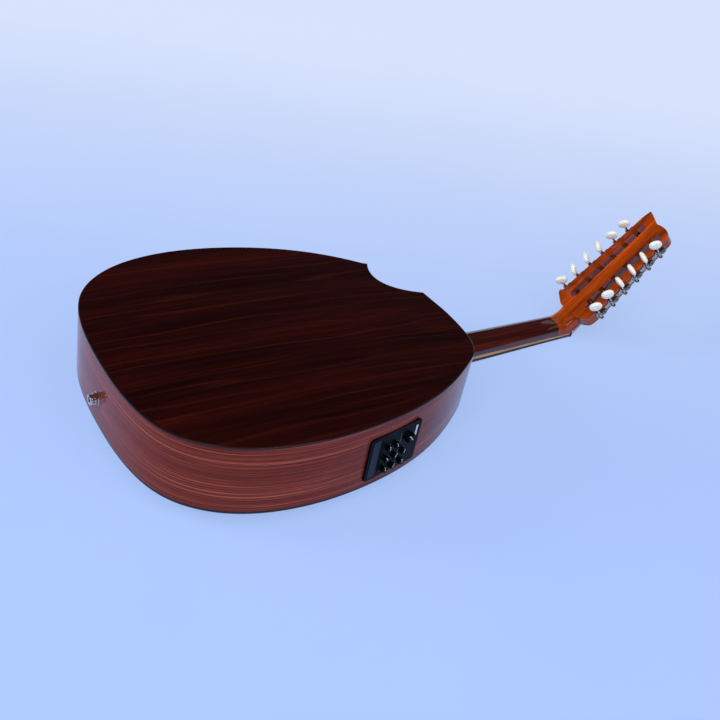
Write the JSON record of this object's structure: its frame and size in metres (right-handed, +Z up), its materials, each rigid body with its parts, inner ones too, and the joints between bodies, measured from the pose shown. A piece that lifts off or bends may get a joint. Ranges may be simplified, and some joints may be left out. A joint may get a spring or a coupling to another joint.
{
  "type": "electric oud",
  "caption": "Flat-backed electric oud with a cutaway, a slotted back-tilted head with geared tuners, a side preamp and a tail jack, lying face down on its strings.",
  "frame": {"origin": "middle of the footprint, on the surface that the instrument lies on", "axes": "+X from the tail towards the head, +Z up, away from the strings, +Y towards the cutaway side"},
  "size_m": [0.8234, 0.38, 0.16],
  "materials": {
    "spruce": "gloss lacquer over spruce",
    "rosewood": "high gloss lacquer over dark rosewood",
    "side_rosewood": "high gloss lacquer over striped rosewood",
    "ebony": "satin black wood",
    "block_wood": "bare wood",
    "brace_wood": "bare wood",
    "pale_wood": "gloss lacquer over pale wood",
    "head_wood": "gloss lacquer over orange-brown wood",
    "bone": "polished bone",
    "pearl": "pearl-white button on a plated shaft",
    "nickel": "nickel plate",
    "steel": "turned steel",
    "string_metal": "drawn wire",
    "black_plastic": "black moulded plastic",
    "battery_case": "plain painted case"
  },
  "bodies": {
    "instrument": {"headstock": "head_wood", "machine_plate_bass": "nickel", "machine_plate_treble": "nickel", "fingerboard": "ebony", "neck_strip": "pale_wood", "neck": "rosewood", "nut": "ebony", "preamp_housing": "black_plastic", "soundboard": "spruce", "sides": "side_rosewood", "back_binding": "ebony", "back_plate": "rosewood", "tail_block": "block_wood", "neck_block": "block_wood", "front_bracing": "brace_wood", "back_bracing": "brace_wood", "bridge": "ebony", "saddle": "bone", "string_course_1": "string_metal", "string_course_2": "string_metal", "string_course_3": "string_metal", "string_course_4": "string_metal", "string_course_5": "string_metal", "string_course_6": "string_metal", "output_jack": "nickel"},
    "battery_drawer": {"battery_tray": "black_plastic", "battery": "battery_case"},
    "string_roller_bass_1_body": {"string_roller_bass_1": "steel"},
    "tuner_key_bass_1_body": {"tuner_key_bass_1": "pearl"},
    "string_roller_bass_2_body": {"string_roller_bass_2": "steel"},
    "tuner_key_bass_2_body": {"tuner_key_bass_2": "pearl"},
    "string_roller_bass_3_body": {"string_roller_bass_3": "steel"},
    "tuner_key_bass_3_body": {"tuner_key_bass_3": "pearl"},
    "string_roller_bass_4_body": {"string_roller_bass_4": "steel"},
    "tuner_key_bass_4_body": {"tuner_key_bass_4": "pearl"},
    "string_roller_bass_5_body": {"string_roller_bass_5": "steel"},
    "tuner_key_bass_5_body": {"tuner_key_bass_5": "pearl"},
    "string_roller_bass_6_body": {"string_roller_bass_6": "steel"},
    "tuner_key_bass_6_body": {"tuner_key_bass_6": "pearl"},
    "string_roller_treble_1_body": {"string_roller_treble_1": "steel"},
    "tuner_key_treble_1_body": {"tuner_key_treble_1": "pearl"},
    "string_roller_treble_2_body": {"string_roller_treble_2": "steel"},
    "tuner_key_treble_2_body": {"tuner_key_treble_2": "pearl"},
    "string_roller_treble_3_body": {"string_roller_treble_3": "steel"},
    "tuner_key_treble_3_body": {"tuner_key_treble_3": "pearl"},
    "string_roller_treble_4_body": {"string_roller_treble_4": "steel"},
    "tuner_key_treble_4_body": {"tuner_key_treble_4": "pearl"},
    "string_roller_treble_5_body": {"string_roller_treble_5": "steel"},
    "tuner_key_treble_5_body": {"tuner_key_treble_5": "pearl"},
    "string_roller_treble_6_body": {"string_roller_treble_6": "steel"},
    "tuner_key_treble_6_body": {"tuner_key_treble_6": "pearl"},
    "preamp_knob_1_body": {"preamp_knob_1": "black_plastic"},
    "preamp_knob_2_body": {"preamp_knob_2": "black_plastic"},
    "preamp_knob_3_body": {"preamp_knob_3": "black_plastic"},
    "preamp_knob_4_body": {"preamp_knob_4": "black_plastic"},
    "preamp_knob_5_body": {"preamp_knob_5": "black_plastic"},
    "preamp_knob_6_body": {"preamp_knob_6": "black_plastic"},
    "preamp_knob_7_body": {"preamp_knob_7": "black_plastic"},
    "preamp_knob_8_body": {"preamp_knob_8": "black_plastic"},
    "volume_knob_body": {"volume_knob": "black_plastic"}
  },
  "joints": [
    {"name": "battery_drawer_slide", "type": "slide", "parent": "instrument", "child": "battery_drawer", "axis": [0.2253, -0.9743, -0.0066], "range_m": [0, 0.03]},
    {"name": "string_roller_bass_1_turn", "type": "hinge", "parent": "instrument", "child": "string_roller_bass_1_body", "pos_m": [0.29695, -0.03585, 0.04911], "axis": [0.0303, -0.9991, 0.029], "continuous": true},
    {"name": "tuner_key_bass_1_turn", "type": "hinge", "parent": "instrument", "child": "tuner_key_bass_1_body", "pos_m": [0.29811, -0.03614, 0.03776], "axis": [-0.6913, 0, 0.7226], "continuous": true},
    {"name": "string_roller_bass_2_turn", "type": "hinge", "parent": "instrument", "child": "string_roller_bass_2_body", "pos_m": [0.31377, -0.03487, 0.0652], "axis": [0.0303, -0.9991, 0.029], "continuous": true},
    {"name": "tuner_key_bass_2_turn", "type": "hinge", "parent": "instrument", "child": "tuner_key_bass_2_body", "pos_m": [0.31493, -0.03516, 0.05385], "axis": [-0.6913, 0, 0.7226], "continuous": true},
    {"name": "string_roller_bass_3_turn", "type": "hinge", "parent": "instrument", "child": "string_roller_bass_3_body", "pos_m": [0.33059, -0.03389, 0.08129], "axis": [0.0303, -0.9991, 0.029], "continuous": true},
    {"name": "tuner_key_bass_3_turn", "type": "hinge", "parent": "instrument", "child": "tuner_key_bass_3_body", "pos_m": [0.33175, -0.03419, 0.06994], "axis": [-0.6913, 0, 0.7226], "continuous": true},
    {"name": "string_roller_bass_4_turn", "type": "hinge", "parent": "instrument", "child": "string_roller_bass_4_body", "pos_m": [0.34741, -0.03291, 0.09738], "axis": [0.0303, -0.9991, 0.029], "continuous": true},
    {"name": "tuner_key_bass_4_turn", "type": "hinge", "parent": "instrument", "child": "tuner_key_bass_4_body", "pos_m": [0.34858, -0.03321, 0.08604], "axis": [-0.6913, 0, 0.7226], "continuous": true},
    {"name": "string_roller_bass_5_turn", "type": "hinge", "parent": "instrument", "child": "string_roller_bass_5_body", "pos_m": [0.36424, -0.03193, 0.11347], "axis": [0.0303, -0.9991, 0.029], "continuous": true},
    {"name": "tuner_key_bass_5_turn", "type": "hinge", "parent": "instrument", "child": "tuner_key_bass_5_body", "pos_m": [0.3654, -0.03223, 0.10213], "axis": [-0.6913, 0, 0.7226], "continuous": true},
    {"name": "string_roller_bass_6_turn", "type": "hinge", "parent": "instrument", "child": "string_roller_bass_6_body", "pos_m": [0.38106, -0.03096, 0.12957], "axis": [0.0303, -0.9991, 0.029], "continuous": true},
    {"name": "tuner_key_bass_6_turn", "type": "hinge", "parent": "instrument", "child": "tuner_key_bass_6_body", "pos_m": [0.38222, -0.03125, 0.11822], "axis": [-0.6913, 0, 0.7226], "continuous": true},
    {"name": "string_roller_treble_1_turn", "type": "hinge", "parent": "instrument", "child": "string_roller_treble_1_body", "pos_m": [0.29695, 0.0358, 0.04911], "axis": [0.0303, 0.9991, 0.029], "continuous": true},
    {"name": "tuner_key_treble_1_turn", "type": "hinge", "parent": "instrument", "child": "tuner_key_treble_1_body", "pos_m": [0.29811, 0.0361, 0.03776], "axis": [-0.6913, 0, 0.7226], "continuous": true},
    {"name": "string_roller_treble_2_turn", "type": "hinge", "parent": "instrument", "child": "string_roller_treble_2_body", "pos_m": [0.31377, 0.03483, 0.0652], "axis": [0.0303, 0.9991, 0.029], "continuous": true},
    {"name": "tuner_key_treble_2_turn", "type": "hinge", "parent": "instrument", "child": "tuner_key_treble_2_body", "pos_m": [0.31493, 0.03512, 0.05385], "axis": [-0.6913, 0, 0.7226], "continuous": true},
    {"name": "string_roller_treble_3_turn", "type": "hinge", "parent": "instrument", "child": "string_roller_treble_3_body", "pos_m": [0.33059, 0.03385, 0.08129], "axis": [0.0303, 0.9991, 0.029], "continuous": true},
    {"name": "tuner_key_treble_3_turn", "type": "hinge", "parent": "instrument", "child": "tuner_key_treble_3_body", "pos_m": [0.33175, 0.03414, 0.06994], "axis": [-0.6913, 0, 0.7226], "continuous": true},
    {"name": "string_roller_treble_4_turn", "type": "hinge", "parent": "instrument", "child": "string_roller_treble_4_body", "pos_m": [0.34741, 0.03287, 0.09738], "axis": [0.0303, 0.9991, 0.029], "continuous": true},
    {"name": "tuner_key_treble_4_turn", "type": "hinge", "parent": "instrument", "child": "tuner_key_treble_4_body", "pos_m": [0.34858, 0.03316, 0.08604], "axis": [-0.6913, 0, 0.7226], "continuous": true},
    {"name": "string_roller_treble_5_turn", "type": "hinge", "parent": "instrument", "child": "string_roller_treble_5_body", "pos_m": [0.36424, 0.03189, 0.11347], "axis": [0.0303, 0.9991, 0.029], "continuous": true},
    {"name": "tuner_key_treble_5_turn", "type": "hinge", "parent": "instrument", "child": "tuner_key_treble_5_body", "pos_m": [0.3654, 0.03219, 0.10213], "axis": [-0.6913, 0, 0.7226], "continuous": true},
    {"name": "string_roller_treble_6_turn", "type": "hinge", "parent": "instrument", "child": "string_roller_treble_6_body", "pos_m": [0.38106, 0.03092, 0.12957], "axis": [0.0303, 0.9991, 0.029], "continuous": true},
    {"name": "tuner_key_treble_6_turn", "type": "hinge", "parent": "instrument", "child": "tuner_key_treble_6_body", "pos_m": [0.38222, 0.03121, 0.11822], "axis": [-0.6913, 0, 0.7226], "continuous": true},
    {"name": "preamp_knob_1_turn", "type": "hinge", "parent": "instrument", "child": "preamp_knob_1_body", "pos_m": [-0.15842, -0.1832, 0.03236], "axis": [0.2253, -0.9743, -0.0066], "range_deg": [-150, 150]},
    {"name": "preamp_knob_2_turn", "type": "hinge", "parent": "instrument", "child": "preamp_knob_2_body", "pos_m": [-0.14669, -0.18049, 0.03202], "axis": [0.2253, -0.9743, -0.0066], "range_deg": [-150, 150]},
    {"name": "preamp_knob_3_turn", "type": "hinge", "parent": "instrument", "child": "preamp_knob_3_body", "pos_m": [-0.13351, -0.17744, 0.03164], "axis": [0.2253, -0.9743, -0.0066], "range_deg": [-150, 150]},
    {"name": "preamp_knob_4_turn", "type": "hinge", "parent": "instrument", "child": "preamp_knob_4_body", "pos_m": [-0.15801, -0.1832, 0.04638], "axis": [0.2253, -0.9743, -0.0066], "range_deg": [-150, 150]},
    {"name": "preamp_knob_5_turn", "type": "hinge", "parent": "instrument", "child": "preamp_knob_5_body", "pos_m": [-0.14628, -0.18049, 0.04604], "axis": [0.2253, -0.9743, -0.0066], "range_deg": [-150, 150]},
    {"name": "preamp_knob_6_turn", "type": "hinge", "parent": "instrument", "child": "preamp_knob_6_body", "pos_m": [-0.13311, -0.17744, 0.04566], "axis": [0.2253, -0.9743, -0.0066], "range_deg": [-150, 150]},
    {"name": "preamp_knob_7_turn", "type": "hinge", "parent": "instrument", "child": "preamp_knob_7_body", "pos_m": [-0.15759, -0.1832, 0.06068], "axis": [0.2253, -0.9743, -0.0066], "range_deg": [-150, 150]},
    {"name": "preamp_knob_8_turn", "type": "hinge", "parent": "instrument", "child": "preamp_knob_8_body", "pos_m": [-0.14586, -0.18049, 0.06033], "axis": [0.2253, -0.9743, -0.0066], "range_deg": [-150, 150]},
    {"name": "volume_knob_turn", "type": "hinge", "parent": "instrument", "child": "volume_knob_body", "pos_m": [-0.12564, -0.17581, 0.06029], "axis": [0.2253, -0.9743, -0.0066], "range_deg": [-150, 150]}
  ],
  "couplings": [
    {"joint": "string_roller_bass_1_turn", "follows": "tuner_key_bass_1_turn", "ratio": 0.071429},
    {"joint": "string_roller_bass_2_turn", "follows": "tuner_key_bass_2_turn", "ratio": 0.071429},
    {"joint": "string_roller_bass_3_turn", "follows": "tuner_key_bass_3_turn", "ratio": 0.071429},
    {"joint": "string_roller_bass_4_turn", "follows": "tuner_key_bass_4_turn", "ratio": 0.071429},
    {"joint": "string_roller_bass_5_turn", "follows": "tuner_key_bass_5_turn", "ratio": 0.071429},
    {"joint": "string_roller_bass_6_turn", "follows": "tuner_key_bass_6_turn", "ratio": 0.071429},
    {"joint": "string_roller_treble_1_turn", "follows": "tuner_key_treble_1_turn", "ratio": -0.071429},
    {"joint": "string_roller_treble_2_turn", "follows": "tuner_key_treble_2_turn", "ratio": -0.071429},
    {"joint": "string_roller_treble_3_turn", "follows": "tuner_key_treble_3_turn", "ratio": -0.071429},
    {"joint": "string_roller_treble_4_turn", "follows": "tuner_key_treble_4_turn", "ratio": -0.071429},
    {"joint": "string_roller_treble_5_turn", "follows": "tuner_key_treble_5_turn", "ratio": -0.071429},
    {"joint": "string_roller_treble_6_turn", "follows": "tuner_key_treble_6_turn", "ratio": -0.071429}
  ]
}
